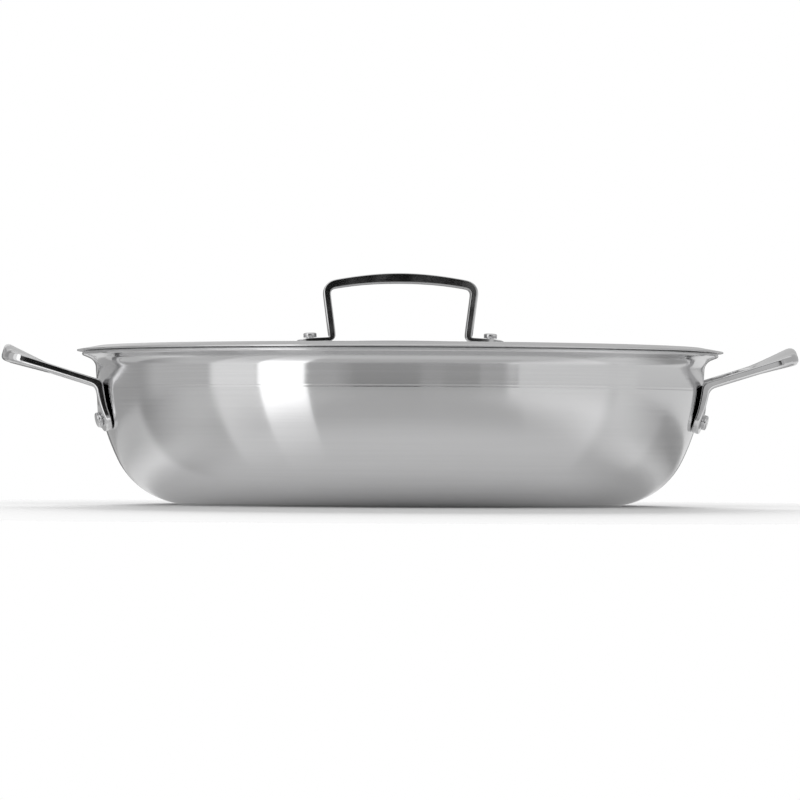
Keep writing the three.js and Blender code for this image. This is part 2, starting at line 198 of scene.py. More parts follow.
@dataclass
class Station:
    """Section of a bar: a rectangle with rounded edges.

    Attributes:
        middle: Middle of the section.
        across: Way across it.
        up: Way that its upper face looks.
        width: Width from side to side.
        thickness: Thickness from its lower to its upper face.
        edge: Radius of its upper edges.
        low_edge: Radius of its lower edges.
        inner_share: Thickness at its inner side, which lies against the way across, as a share.
    """

    middle: Vector
    across: Vector
    up: Vector
    width: float
    thickness: float
    edge: float
    low_edge: float
    inner_share: float = 1.0

    def mirrored(self, flip: Vector) -> "Station":
        """Return the station on the other side of a plane of symmetry.

        Args:
            flip: Factors for X, Y and Z, one of them -1.

        Returns:
            The mirrored station, whose ring keeps its order.
        """
        return Station(
            self.middle * flip,
            self.across * flip,
            self.up * flip,
            self.width,
            self.thickness,
            self.edge,
            self.low_edge,
            self.inner_share,
        )

    def ring(self) -> list[Vector]:
        """Work out the points round the section.

        Returns:
            The points in metres, from its outer side over its upper face and back below.
        """
        room = EDGE_ROOM * min(self.thickness, self.width) / (self.edge + self.low_edge)
        edges = {1: self.edge * min(room, 1), -1: self.low_edge * min(room, 1)}
        ring = []
        for quarter, (side, level) in enumerate(((1, 1), (-1, 1), (-1, -1), (1, -1))):
            edge = edges[level]
            half_flat = self.width / 2 - edge
            half_side = self.thickness / 2 - edge
            for share in shares(EDGE_STEPS):
                angle = (quarter + share) * pi / 2
                ring.append((side * half_flat + edge * cos(angle), level * half_side + edge * sin(angle)))
            if side == level:
                for share in FLAT_STOPS:
                    ring.append((level * share * half_flat, level * self.thickness / 2))
            else:
                side_end = edges[-level] - self.thickness / 2
                for share in SIDE_STOPS:
                    ring.append((side * self.width / 2, level * lerp(half_side, side_end, share)))
        points = []
        for x, y in ring:
            thinned = y * lerp(self.inner_share, 1, x / self.width + 0.5)
            points.append((self.middle + self.across * x + self.up * thinned) * MM)
        return points


def loft(name: str, stations: list[Station]) -> bpy.types.Object:
    """Extrude a disc from station to station into a bar and round it by subdivision.

    Args:
        name: Name of the piece.
        stations: Sections of the bar, in order.

    Returns:
        The finished object.
    """
    rings = [station.ring() for station in stations]
    deselect_all()
    bpy.ops.mesh.primitive_circle_add(vertices=len(rings[0]), radius=MM, fill_type="NGON")
    piece = bpy.context.object
    piece.name = name
    piece.data.name = name
    bpy.ops.object.mode_set(mode="EDIT")
    mesh = bmesh.from_edit_mesh(piece.data)
    spoke = mesh.verts.layers.int.new("spoke")
    for index, vertex in enumerate(mesh.verts):
        vertex[spoke] = index
    bpy.ops.mesh.select_all(action="SELECT")
    for number, ring in enumerate(rings):
        if number > 0:
            bpy.ops.mesh.extrude_region_move()
        mesh = bmesh.from_edit_mesh(piece.data)
        spoke = mesh.verts.layers.int["spoke"]
        for vertex in mesh.verts:
            if vertex.select:
                vertex.co = ring[vertex[spoke]]
        bmesh.update_edit_mesh(piece.data)
    close_up(piece, smooth_angle=pi)
    piece.data.attributes.remove(piece.data.attributes["spoke"])
    rounding = piece.modifiers.new("rounding", "SUBSURF")
    rounding.levels = ROUNDING_LEVELS
    rounding.render_levels = ROUNDING_LEVELS
    bpy.ops.object.modifier_apply(modifier=rounding.name)
    return piece


def both_halves(half: list[Station], flip: Vector) -> list[Station]:
    """Return the stations of a whole bar from one half, whose last one lies on the plane of symmetry.

    Args:
        half: Stations from an end to the middle.
        flip: Factors for X, Y and Z, one of them -1.

    Returns:
        The stations from end to end.
    """
    return half + [station.mirrored(flip) for station in reversed(half[:-1])]


def place_copies(model: bpy.types.Object, places: dict[str, Matrix]) -> list[bpy.types.Object]:
    """Set copies of a model, each with a mesh of its own, at their places.

    Args:
        model: Piece made at the origin. It becomes the last of the copies.
        places: Placing of each copy, by name.

    Returns:
        The copies, unturned and at the origin, with their places in their meshes.
    """
    copies = []
    for number, (name, place) in enumerate(places.items(), start=1):
        pick(model)
        if number < len(places):
            bpy.ops.object.duplicate(linked=False)
        copy = bpy.context.object
        copy.name = name
        copy.data.name = name
        copy.matrix_world = place
        bpy.ops.object.transform_apply(location=True, rotation=True, scale=True)
        copies.append(copy)
    return copies


def install(piece: bpy.types.Object, body: str, slot: str, *nodes: str) -> None:
    """Set a piece in the frame and report it.

    Args:
        piece: Finished piece.
        body: Body that it moves with.
        slot: Name of a material slot of the record; it is not used.
        nodes: Solids that it stands for.
    """
    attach(piece, body)
    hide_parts(*nodes)
    log.info("%s: %d faces, rides on %s", piece.name, len(piece.data.polygons), body)


class NodeBoard:
    """Nodes of one material or of the world, added and joined in code."""

    def __init__(self, tree: bpy.types.NodeTree) -> None:
        """Take a node tree and empty it.

        Args:
            tree: Node tree of a material or of the world.
        """
        self.tree = tree
        tree.nodes.clear()

    def add(self, kind: str, **settings: object) -> bpy.types.Node:
        """Add a node.

        Args:
            kind: Type of the node.
            settings: Values of its properties.

        Returns:
            The new node.
        """
        node = self.tree.nodes.new(kind)
        for name, value in settings.items():
            setattr(node, name, value)
        return node

    def feed(self, socket: bpy.types.NodeSocket, value: object) -> None:
        """Join an output to an input, or set the input where a plain value is given.

        Args:
            socket: Input of a node.
            value: Output of another node, a number or a colour.
        """
        if isinstance(value, bpy.types.NodeSocket):
            self.tree.links.new(value, socket)
        else:
            socket.default_value = value

    def math(self, operation: str, *values: object) -> bpy.types.NodeSocket:
        """Work out a number from others.

        Args:
            operation: Name of the operation.
            values: Outputs or numbers that it takes.

        Returns:
            The result.
        """
        node = self.add("ShaderNodeMath", operation=operation)
        for socket, value in zip(node.inputs, values):
            self.feed(socket, value)
        return node.outputs[0]

    def span(
        self, value: object, low: float, high: float, start: float, end: float
    ) -> bpy.types.NodeSocket:
        """Map a number smoothly from one range to another.

        Args:
            value: Number to map.
            low: Number that gives the start.
            high: Number that gives the end.
            start: First value of the new range.
            end: Last value of the new range.

        Returns:
            The mapped number.
        """
        node = self.add("ShaderNodeMapRange", interpolation_type="SMOOTHSTEP")
        for socket, number in zip(node.inputs, (value, low, high, start, end)):
            self.feed(socket, number)
        return node.outputs[0]

    def window(self, value: object, low: float, high: float, soft: float) -> bpy.types.NodeSocket:
        """Tell whether a number lies in a range with soft ends.

        Args:
            value: Number to test.
            low: Lower end of the range.
            high: Upper end of the range.
            soft: Width of each soft end.

        Returns:
            1 inside the range and 0 outside it.
        """
        rise = self.span(value, low - soft / 2, low + soft / 2, 0, 1)
        fall = self.span(value, high - soft / 2, high + soft / 2, 1, 0)
        return self.math("MULTIPLY", rise, fall)

    def distance(self, point: object, place: Vector) -> bpy.types.NodeSocket:
        """Measure how far a point lies from a place.

        Args:
            point: Point to measure from.
            place: Place to measure to.

        Returns:
            The distance.
        """
        node = self.add("ShaderNodeVectorMath", operation="DISTANCE")
        self.feed(node.inputs[0], point)
        self.feed(node.inputs[1], place)
        return node.outputs["Value"]

    def noise(self, vector: object, detail: float) -> bpy.types.NodeSocket:
        """Add a noise pattern with one wave in a unit of length.

        Args:
            vector: Point that the pattern is read at.
            detail: Count of its finer layers.

        Returns:
            The pattern's value.
        """
        node = self.add("ShaderNodeTexNoise")
        self.feed(node.inputs["Vector"], vector)
        self.feed(node.inputs["Scale"], 1.0)
        self.feed(node.inputs["Detail"], detail)
        return node.outputs["Fac"]


@dataclass(frozen=True)
class MetalFinish:
    """Bare metal with polishing marks.

    Attributes:
        name: Name of the material.
        tint: Colour of what it reflects.
        roughness: Middle of its roughness.
        roughness_swing: How far the roughness goes up and down over the marks.
        tone_swing: Share that the colour goes up and down over the marks.
        grain: Way that the marks run.
        mark_pitch: Distance between marks, in millimetres.
        mark_length: Length of the marks, in millimetres.
        mark_depth: Depth of the marks, in millimetres.
        anisotropy: Share that the marks stretch a reflection across their run.
    """

    name: str
    tint: tuple[float, float, float]
    roughness: float
    roughness_swing: float
    tone_swing: float
    grain: Grain
    mark_pitch: float
    mark_length: float
    mark_depth: float
    anisotropy: float = 0.0

    def marks(self, board: NodeBoard) -> bpy.types.NodeSocket:
        """Lay the polishing marks over a piece.

        Args:
            board: Nodes of the material.

        Returns:
            Pattern of the marks, about 0.5 in its middle.
        """
        point = board.add("ShaderNodeTexCoord").outputs["Object"]
        pitch = 1 / (self.mark_pitch * MM)
        length = 1 / (self.mark_length * MM)
        if self.grain is Grain.BUFFED:
            stretch = board.add("ShaderNodeMapping")
            board.feed(stretch.inputs["Vector"], point)
            board.feed(stretch.inputs["Scale"], (length, pitch, length))
            return board.noise(stretch.outputs["Vector"], MARK_DETAIL)
        parts = board.add("ShaderNodeSeparateXYZ")
        board.feed(parts.inputs[0], point)
        x, y, z = parts.outputs
        squares = board.math("ADD", board.math("MULTIPLY", x, x), board.math("MULTIPLY", y, y))
        radius = board.math("SQRT", squares)
        turned = board.add("ShaderNodeCombineXYZ")
        board.feed(turned.inputs[0], board.math("MULTIPLY", x, length))
        board.feed(turned.inputs[1], board.math("MULTIPLY", y, length))
        board.feed(turned.inputs[2], board.math("MULTIPLY", board.math("ADD", radius, z), pitch))
        return board.noise(turned.outputs[0], MARK_DETAIL)

    def material(self) -> bpy.types.Material:
        """Make a material with the finish.

        Returns:
            The new material.
        """
        material = bpy.data.materials.new(self.name)
        material.use_nodes = True
        board = NodeBoard(material.node_tree)
        shader = board.add("ShaderNodeBsdfPrincipled")
        output = board.add("ShaderNodeOutputMaterial")
        board.feed(output.inputs["Surface"], shader.outputs[0])
        marks = self.marks(board)
        tone = board.add("ShaderNodeMix", data_type="RGBA")
        board.feed(tone.inputs["Factor"], board.span(marks, MARK_LOW, MARK_HIGH, 0, 1))
        low, high = 1 - self.tone_swing, 1 + self.tone_swing
        # The mix node keeps its two colours in inputs 6 and 7 and gives their mix in output 2
        board.feed(tone.inputs[6], (*(low * part for part in self.tint), 1))
        board.feed(tone.inputs[7], (*(high * part for part in self.tint), 1))
        board.feed(shader.inputs["Base Color"], tone.outputs[2])
        rough_low = self.roughness - self.roughness_swing
        rough_high = self.roughness + self.roughness_swing
        rough = board.span(marks, MARK_LOW, MARK_HIGH, rough_low, rough_high)
        board.feed(shader.inputs["Roughness"], rough)
        board.feed(shader.inputs["Metallic"], 1.0)
        bump = board.add("ShaderNodeBump")
        board.feed(bump.inputs["Strength"], 1.0)
        board.feed(bump.inputs["Distance"], self.mark_depth * MM)
        board.feed(bump.inputs["Height"], marks)
        board.feed(shader.inputs["Normal"], bump.outputs["Normal"])
        if self.anisotropy > 0:
            tangent = board.add("ShaderNodeTangent", direction_type="RADIAL", axis="Z")
            board.feed(shader.inputs["Anisotropic"], self.anisotropy)
            board.feed(shader.inputs["Anisotropic Rotation"], QUARTER_TURN)
            board.feed(shader.inputs["Tangent"], tangent.outputs[0])
        return material


SATIN_STEEL = MetalFinish(
    name="satin_wall_steel",
    tint=(0.66, 0.66, 0.665),
    roughness=0.13,
    roughness_swing=0.02,
    tone_swing=0.02,
    grain=Grain.TURNED,
    mark_pitch=0.9,
    mark_length=90,
    mark_depth=0.0015,
    anisotropy=1.0,
)
INNER_STEEL = MetalFinish(
    name="brushed_inner_steel",
    tint=(0.64, 0.64, 0.645),
    roughness=0.38,
    roughness_swing=0.05,
    tone_swing=0.05,
    grain=Grain.TURNED,
    mark_pitch=0.8,
    mark_length=60,
    mark_depth=0.004,
    anisotropy=0.8,
)
LID_STEEL = MetalFinish(
    name="polished_lid_steel",
    tint=(0.68, 0.68, 0.685),
    roughness=0.2,
    roughness_swing=0.03,
    tone_swing=0.02,
    grain=Grain.TURNED,
    mark_pitch=0.7,
    mark_length=80,
    mark_depth=0.001,
    anisotropy=0.6,
)
HANDLE_STEEL = MetalFinish(
    name="polished_handle_steel",
    tint=(0.7, 0.7, 0.705),
    roughness=0.09,
    roughness_swing=0.03,
    tone_swing=0.02,
    grain=Grain.BUFFED,
    mark_pitch=1.2,
    mark_length=9,
    mark_depth=0.001,
)
RIVET_STEEL = MetalFinish(
    name="polished_rivet_steel",
    tint=(0.7, 0.7, 0.705),
    roughness=0.12,
    roughness_swing=0.04,
    tone_swing=0.03,
    grain=Grain.BUFFED,
    mark_pitch=0.6,
    mark_length=2,
    mark_depth=0.002,
)
CORE_ALUMINIUM = MetalFinish(
    name="cut_core_aluminium",
    tint=(0.78, 0.785, 0.79),
    roughness=0.42,
    roughness_swing=0.06,
    tone_swing=0.05,
    grain=Grain.TURNED,
    mark_pitch=0.4,
    mark_length=30,
    mark_depth=0.004,
    anisotropy=0.5,
)


def dress(piece: bpy.types.Object, material: bpy.types.Material) -> None:
    """Give a piece one material alone."""
    piece.data.materials.clear()
    piece.data.materials.append(material)


@dataclass(frozen=True)
class Wall:
    """Clad sheet of the pan: arcs of its outer face in radius and height, and the depths of its layers."""

    base_radius: float = 105
    corner_radius: float = 40
    corner_turn: float = radians(64)
    side_radius: float = 110
    crease_height: float = 57.8
    band_lean: float = radians(3.2)
    band_height: float = 10.2
    flare_radius: float = 5.5
    lip_rise: float = radians(22)
    lip_length: float = 4.1
    outer_steel: float = 0.5
    aluminium_core: float = 1.0
    inner_steel: float = 0.5
    bond_line: float = 0.05
    groove_width: float = 1.1
    groove_depth: float = 0.16
    groove_guard: float = 1.2
    base_edge: float = 0.5
    edge_run: float = 0.3
    edge_turn: float = 0.125
    edge_rise: float = 0.05

    @property
    def depth(self) -> float:
        """Whole thickness of the sheet."""
        return self.outer_steel + self.aluminium_core + self.inner_steel + 2 * self.bond_line

    @property
    def corner_centre(self) -> Vector:
        """Centre of the arc between the base and the side."""
        return Vector((self.base_radius, self.corner_radius))

    @property
    def side_centre(self) -> Vector:
        """Centre of the arc of the side."""
        return self.corner_centre + outward(self.corner_turn) * (self.corner_radius - self.side_radius)

    @property
    def side_turn(self) -> float:
        """Angle that the side rises at where it meets the crease."""
        return acos((self.side_centre.y - self.crease_height) / self.side_radius)

    @property
    def crease_radius(self) -> float:
        """Radius of the crease."""
        return self.side_centre.x + self.side_radius * sin(self.side_turn)

    @property
    def band_angle(self) -> float:
        """Angle that the band over the crease rises at."""
        return pi / 2 - self.band_lean

    @property
    def band_top(self) -> float:
        """Height of the top of the band."""
        return self.crease_height + self.band_height

    def at(self, height: float) -> FacePoint:
        """Find a point of the outer face.

        Args:
            height: Height between its base and its flare.

        Returns:
            The point at that height.
        """
        if height > self.crease_height:
            radius = self.crease_radius + (height - self.crease_height) * tan(self.band_lean)
            return FacePoint(Vector((radius, height)), self.band_angle)
        centre, arc = self.side_centre, self.side_radius
        if height < self.corner_radius * (1 - cos(self.corner_turn)):
            centre, arc = self.corner_centre, self.corner_radius
        angle = acos((centre.y - height) / arc)
        return FacePoint(Vector((centre.x + arc * sin(angle), height)), angle)

    def outside(self, height: float, distance: float) -> Vector:
        """Return the point at a distance outside the outer face at a height."""
        point = self.at(height)
        return point.at + outward(point.angle) * distance

    def crease(self, worked: bool) -> list[FacePoint]:
        """Return the points round the fine groove of the crease, from below.

        Args:
            worked: Whether the groove is cut, or the face stays plain there.

        Returns:
            The points, with a close one on each side that keeps the shading of the groove to itself.
        """
        half = self.groove_width / 2
        low, high = self.at(self.crease_height - half), self.at(self.crease_height + half)
        bottom = self.at(self.crease_height)
        lowered = bottom.at - outward(bottom.angle) * (self.groove_depth if worked else 0)
        return [
            self.at(self.crease_height - self.groove_guard * half),
            low,
            FacePoint(lowered, bottom.angle),
            high,
            self.at(self.crease_height + self.groove_guard * half),
        ]

    def corner(self, worked: bool) -> list[FacePoint]:
        """Return the points of the base and of the corner over it, from the axis.

        Args:
            worked: Whether the base is ground flat as far as a low edge, or runs into the corner plainly.

        Returns:
            The points, in order.
        """
        points = [FacePoint(Vector((radius, 0)), 0) for radius in (0, self.base_radius / 2)]
        start = 0.0
        if worked:
            start = acos(1 - self.base_edge / self.corner_radius)
            edge = self.base_radius + self.corner_radius * sin(start)
            points.append(FacePoint(Vector((edge - self.edge_run, 0)), 0))
            points.append(FacePoint(Vector((edge - self.edge_turn, self.edge_rise)), 0))
        for share in shares(CORNER_STEPS):
            angle = lerp(start, self.corner_turn, share)
            points.append(FacePoint(self.corner_centre + outward(angle) * self.corner_radius, angle))
        return points

    def face(self, worked: bool = False) -> list[FacePoint]:
        """Return the points of the outer face from the axis to the lip.

        Args:
            worked: Whether it has the groove of the crease and the low edge of the base.

        Returns:
            The points, in order.
        """
        points = self.corner(worked)
        side_end = self.at(self.crease_height - self.groove_width).angle
        for share in shares(SIDE_STEPS)[1:]:
            angle = lerp(self.corner_turn, side_end, share)
            points.append(FacePoint(self.side_centre + outward(angle) * self.side_radius, angle))
        points += self.crease(worked)
        flare_start = self.at(self.band_top).at
        flare_centre = flare_start + outward(self.band_angle) * self.flare_radius
        for share in shares(FLARE_STEPS):
            angle = lerp(self.band_angle, self.lip_rise, share)
            points.append(FacePoint(flare_centre - outward(angle) * self.flare_radius, angle))
        lip_end = points[-1].at + along(self.lip_rise) * self.lip_length
        points.append(FacePoint(lip_end, self.lip_rise))
        return points

    @property
    def lip_edge(self) -> Vector:
        """Outer edge of the end of the lip."""
        return self.face()[-1].at

    def layer(self, start: float, end: float, sink: float) -> list[Vector]:
        """Return the outline of one layer of the sheet, whose end is rounded with the whole lip.

        Args:
            start: Depth of its outer side.
            end: Depth of its inner side.
            sink: How far its end is worn back behind the round of the lip.

        Returns:
            Points from the axis along the outer side, round the end and back along the inner side.
        """

        def side(depth: float) -> list[Vector]:
            """Return the wall's face at a depth, without its last point."""
            face = self.face(worked=depth == 0)
            return [point.at - outward(point.angle) * depth for point in face[:-1]]

        way, out = along(self.lip_rise), outward(self.lip_rise)
        half = self.depth / 2
        round_centre = self.lip_edge - out * half - way * half
        first, last = acos(1 - start / half), acos(max(1 - end / half, -1))
        rim = []
        for share in shares(LIP_STEPS):
            turn = lerp(first, last, share)
            rim.append(round_centre + out * half * cos(turn) + way * (half * sin(turn) - sink))
        return side(start) + rim + side(end)[::-1]


@dataclass
class PanVessel:
    """Pan without its handles: an outer skin, an aluminium core and an inner skin, drawn as one sheet."""

    wall: Wall
    facets: int = 224
    core_sink: float = 0.06

    def build(self) -> None:
        """Turn the three layers and dress them."""
        wall = self.wall
        core_start = wall.outer_steel + wall.bond_line
        core_end = core_start + wall.aluminium_core
        inner_start = core_end + wall.bond_line
        outer = turn_outline("outer_skin", wall.layer(0, wall.outer_steel, 0), self.facets)
        dress(outer, SATIN_STEEL.material())
        install(outer, PAN_BODY, "wall_steel", "pan_outer_layer")
        core = turn_outline("core_sheet", wall.layer(core_start, core_end, self.core_sink), self.facets)
        dress(core, CORE_ALUMINIUM.material())
        install(core, PAN_BODY, "core_aluminium", "pan_core_layer")
        inner = turn_outline("inner_skin", wall.layer(inner_start, wall.depth, 0), self.facets)
        dress(inner, INNER_STEEL.material())
        install(inner, PAN_BODY, "inner_steel", "pan_inner_layer")


@dataclass(frozen=True)
class Rivet:
    """Rivet with a domed head outside and a button inside."""

    shank: float
    head: float
    head_height: float
    button: float
    button_height: float
    rim_share: float = 0.6
    flatness: float = 0.5
    foot_round: float = 0.1
    facets: int = 48

    def cap(self, radius: float, height: float) -> list[Vector]:
        """Return the outline of a head that sits on height 0, from its foot to the middle of its dome.

        Args:
            radius: Radius of the head.
            height: Height of its dome.

        Returns:
            The points, in order.
        """
        rim = self.rim_share * height
        points = [Vector((radius - self.foot_round, 0)), Vector((radius, self.foot_round))]
        for share in shares(CAP_STEPS):
            turn = share * pi / 2
            points.append(Vector((radius * cos(turn) ** self.flatness, rim + (height - rim) * sin(turn))))
        points[-1].x = 0
        return points

    def outline(self, grip: float) -> list[Vector]:
        """Return the outline of the rivet along Z, with the seat of its head at height 0.

        Args:
            grip: Distance from the seat of the head to the seat of the button.

        Returns:
            The points, from the button to the head.
        """
        button = [Vector((p.x, -grip - p.y)) for p in self.cap(self.button, self.button_height)]
        shank = [Vector((self.shank, -grip)), Vector((self.shank, 0))]
        return button[::-1] + shank + self.cap(self.head, self.head_height)

    def model(self, grip: float) -> bpy.types.Object:
        """Return one rivet at the origin."""
        return turn_outline("rivet_model", self.outline(grip), self.facets)


@dataclass
class SideHandles:
    """Two cast loops: each has two feet on the wall, a bend, two legs and a broad grip."""

    wall: Wall
    rivet: Rivet = field(default_factory=lambda: Rivet(2.5, 3.7, 2.3, 4.6, 1.4))
    clearance: float = 0.3
    length: float = 48.9
    tilt: float = radians(17.2)
    bend_drop: float = 2
    foot_drop: float = 21
    foot_width: float = 17.8
    foot_thickness: float = 3
    foot_edge: float = 0.8
    bend_radius: float = 4.5
    leg_spread: float = 36.3
    leg_width: float = 8
    leg_thickness: float = 4
    leg_edge: float = 0.5
    leg_low_edge: float = 1.25
    grip_corner: float = 12
    slot_corner: float = 5
    grip_width: float = 24
    grip_thickness: float = 9.1
    grip_lift: float = 1.4
    grip_edge: float = 2.4
    grip_bow: float = 2.5
    corner_thickness: float = 6.5
    rivet_spread: float = 30
    rivet_rise: float = 6
    foot_round: float = radians(80)
    button_gap: float = 0.5
    leg_stops: tuple[float, float] = (0.35, 0.7)

    @property
    def bend_height(self) -> float:
        """Height of the bend."""
        return self.wall.crease_height - self.bend_drop

    @property
    def rivet_height(self) -> float:
        """Height of the rivets."""
        return self.wall.crease_height - self.foot_drop + self.rivet_rise

    @property
    def leg_inside(self) -> float:
        """Distance of a leg's inner side from the middle of the handle."""
        return self.leg_spread - self.leg_width / 2

    @property
    def leg_outside(self) -> float:
        """Distance of a leg's outer side from the middle, which its foot keeps to."""
        return self.leg_spread + self.leg_width / 2

    def on_wall(self, at: Vector, angle: float, inside: float, outside: float, wrap: float) -> Station:
        """Return a station in front of the wall, with flat sides that run square to the handle.

        Args:
            at: Radius and height of its middle.
            angle: Angle that it rises at.
            inside: Distance of its inner side from the middle of the handle.
            outside: Distance of its outer side.
            wrap: Share that it follows the round of the wall.

        Returns:
            The station, with the thickness and the edge of a leg.
        """
        spread = (inside + outside) / 2
        yaw = asin(spread / at.x)
        middle = Vector((at.x * cos(yaw), spread, at.y))
        across = Vector((-wrap * tan(yaw), 1, 0))
        up = Vector((-sin(angle), 0, cos(angle)))
        return Station(
            middle, across, up, outside - inside, self.leg_thickness, self.leg_edge, self.leg_low_edge
        )

    def foot(self) -> list[Station]:
        """Set out a foot.

        Returns:
            Its stations, from its round end past the rivet to the bend.
        """

        def seated(height: float, inside: float, outside: float, share: float) -> Station:
            """Lay a station on the wall.

            Args:
                height: Height of its middle.
                inside: Distance of its inner side from the handle's middle.
                outside: Distance of its outer side.
                share: How far it has turned from a foot into a leg.

            Returns:
                The station.
            """
            thickness = lerp(self.foot_thickness, self.leg_thickness, share)
            at = self.wall.outside(height, self.clearance + thickness / 2)
            station = self.on_wall(at, self.wall.at(height).angle, inside, outside, 1 - share)
            station.thickness = thickness
            station.low_edge = lerp(self.foot_edge, self.leg_low_edge, share)
            return station

        foot_inside = self.leg_outside - self.foot_width
        foot_middle = self.leg_outside - self.foot_width / 2
        stations = []
        for share in shares(FOOT_STEPS):
            turn = self.foot_round * (1 - share)
            height = self.rivet_height - self.rivet_rise * sin(turn)
            half = self.foot_width / 2 * cos(turn)
            stations.append(seated(height, foot_middle - half, foot_middle + half, 0))
        for share in shares(FOOT_STEPS)[1:]:
            height = lerp(self.rivet_height, self.bend_height, share)
            inside = lerp(foot_inside, self.leg_inside, ease(share))
            stations.append(seated(height, inside, self.leg_outside, share))
        return stations

    def bend(self) -> list[Station]:
        """Set out the bend, which is round below and a soft corner above.

        Returns:
            Its stations, from the foot to the leg.
        """
        centre = self.wall.outside(self.bend_height, self.clearance + self.leg_thickness + self.bend_radius)
        start = self.wall.at(self.bend_height).angle
        stations = []
        for share in shares(BEND_STEPS)[1:]:
            angle = lerp(start, self.tilt, share)
            corner = min(start - angle, angle - self.tilt)
            outer = (self.bend_radius + self.leg_thickness) / cos(corner)
            at = centre - outward(angle) * (outer + self.bend_radius) / 2
            station = self.on_wall(at, angle, self.leg_inside, self.leg_outside, 0)
            station.thickness = outer - self.bend_radius
            stations.append(station)
        return stations

    def loop(self, start: Vector) -> list[Station]:
        """Return the stations of a leg, a corner and half of the grip.

        Args:
            start: Middle of the leg where the bend ends.

        Returns:
            The stations as far as the middle of the grip.
        """
        slope = Vector((cos(self.tilt), 0, sin(self.tilt)))
        up = Vector((-sin(self.tilt), 0, cos(self.tilt)))

        def on_plane(point: Vector) -> Vector:
            """Return the place of a point of the handle's sloping plane."""
            return Vector((start.x, 0, start.z)) + slope * point.x + Vector((0, point.y, 0))

        def station(inside: Vector, outside: Vector, share: float) -> Station:
            """Set a station between two points of the handle's sloping plane.

            Args:
                inside: Point on the side of the slot.
                outside: Point on the outer side.
                share: How far it has turned from a leg into the corner.

            Returns:
                The station.
            """
            middle = on_plane((inside + outside) / 2)
            way = on_plane(outside) - on_plane(inside)
            thickness = lerp(self.leg_thickness, self.corner_thickness, share)
            edge = lerp(self.leg_edge, self.grip_edge, ease(share))
            low_edge = lerp(self.leg_low_edge, self.grip_edge, share)
            inner_share = self.leg_thickness / thickness
            return Station(middle, way.normalized(), up, way.length, thickness, edge, low_edge, inner_share)

        grip_end = (self.grip_width * cos(self.tilt) + self.grip_thickness * sin(self.tilt)) / 2
        reach = self.wall.at(self.bend_height).at.x + self.length
        grip_reach = (reach - self.grip_bow - grip_end - start.x) / cos(self.tilt)
        slot_length = grip_reach - self.grip_width / 2
        slot_centre = Vector((slot_length - self.slot_corner, self.leg_inside - self.slot_corner))
        outside_end = grip_reach + self.grip_width / 2
        loop_centre = Vector((outside_end - self.grip_corner, self.leg_outside - self.grip_corner))
        stations = []
        for share in self.leg_stops:
            run = slot_centre.x * share
            sides = Vector((run, self.leg_inside)), Vector((run, self.leg_outside))
            stations.append(station(*sides, 0))
        for share in shares(LOOP_STEPS):
            ray = along(pi / 2 * (1 - share))
            sides = slot_centre + ray * self.slot_corner, loop_centre + ray * self.grip_corner
            stations.append(station(*sides, share))
        grip_start = stations[-1].middle.y
        across = stations[-1].across
        for share in shares(GRIP_STEPS)[1:]:
            rise = 1 - (1 - share) ** 2
            middle = on_plane(Vector((grip_reach + self.grip_bow * rise, grip_start * (1 - share))))
            lift = self.grip_lift * rise
            tipped = across + up * (lift / self.grip_width)
            thickness = lerp(self.corner_thickness, self.grip_thickness, rise)
            edges = self.grip_edge, self.grip_edge
            section = self.grip_width, thickness, *edges, self.leg_thickness / thickness
            stations.append(Station(middle + up * lift / 2, tipped, up, *section))
        return stations

    def rivet_place(self, sign: int) -> Matrix:
        """Place a rivet of the handle at +X.

        Args:
            sign: Side of Y that it is on.

        Returns:
            Its placing.
        """
        seat = self.wall.outside(self.rivet_height, 2 * self.clearance + self.foot_thickness)
        normal = outward(self.wall.at(self.rivet_height).angle)
        yaw = asin(sign * self.rivet_spread / seat.x)
        point = Vector((seat.x * cos(yaw), seat.x * sin(yaw), seat.y))
        return standing(point, Vector((normal.x * cos(yaw), normal.x * sin(yaw), normal.y)))

    def build(self) -> None:
        """Make one handle and one rivet, copy them to both sides and dress them."""
        bend = self.bend()
        half = self.foot() + bend + self.loop(bend[-1].middle)
        model = loft("side_handle_model", both_halves(half, Vector((1, -1, 1))))
        turned = Matrix.Rotation(pi, 4, "Z")
        places = {"right_handle": Matrix.Identity(4), "left_handle": turned}
        steel = HANDLE_STEEL.material()
        for piece, node in zip(place_copies(model, places), ("side_handle_right", "side_handle_left")):
            dress(piece, steel)
            install(piece, PAN_BODY, "handle_steel", node)
        grip = 2 * self.clearance + self.foot_thickness + self.wall.depth + self.button_gap
        front, back = self.rivet_place(-1), self.rivet_place(1)
        rivet_places = {
            "handle_rivet_right_front": front,
            "handle_rivet_right_back": back,
            "handle_rivet_left_front": turned @ back,
            "handle_rivet_left_back": turned @ front,
        }
        rivet_steel = RIVET_STEEL.material()
        for piece in place_copies(self.rivet.model(grip), rivet_places):
            dress(piece, rivet_steel)
            install(piece, PAN_BODY, "rivet_steel", piece.name.replace("handle_rivet", "side_rivet"))


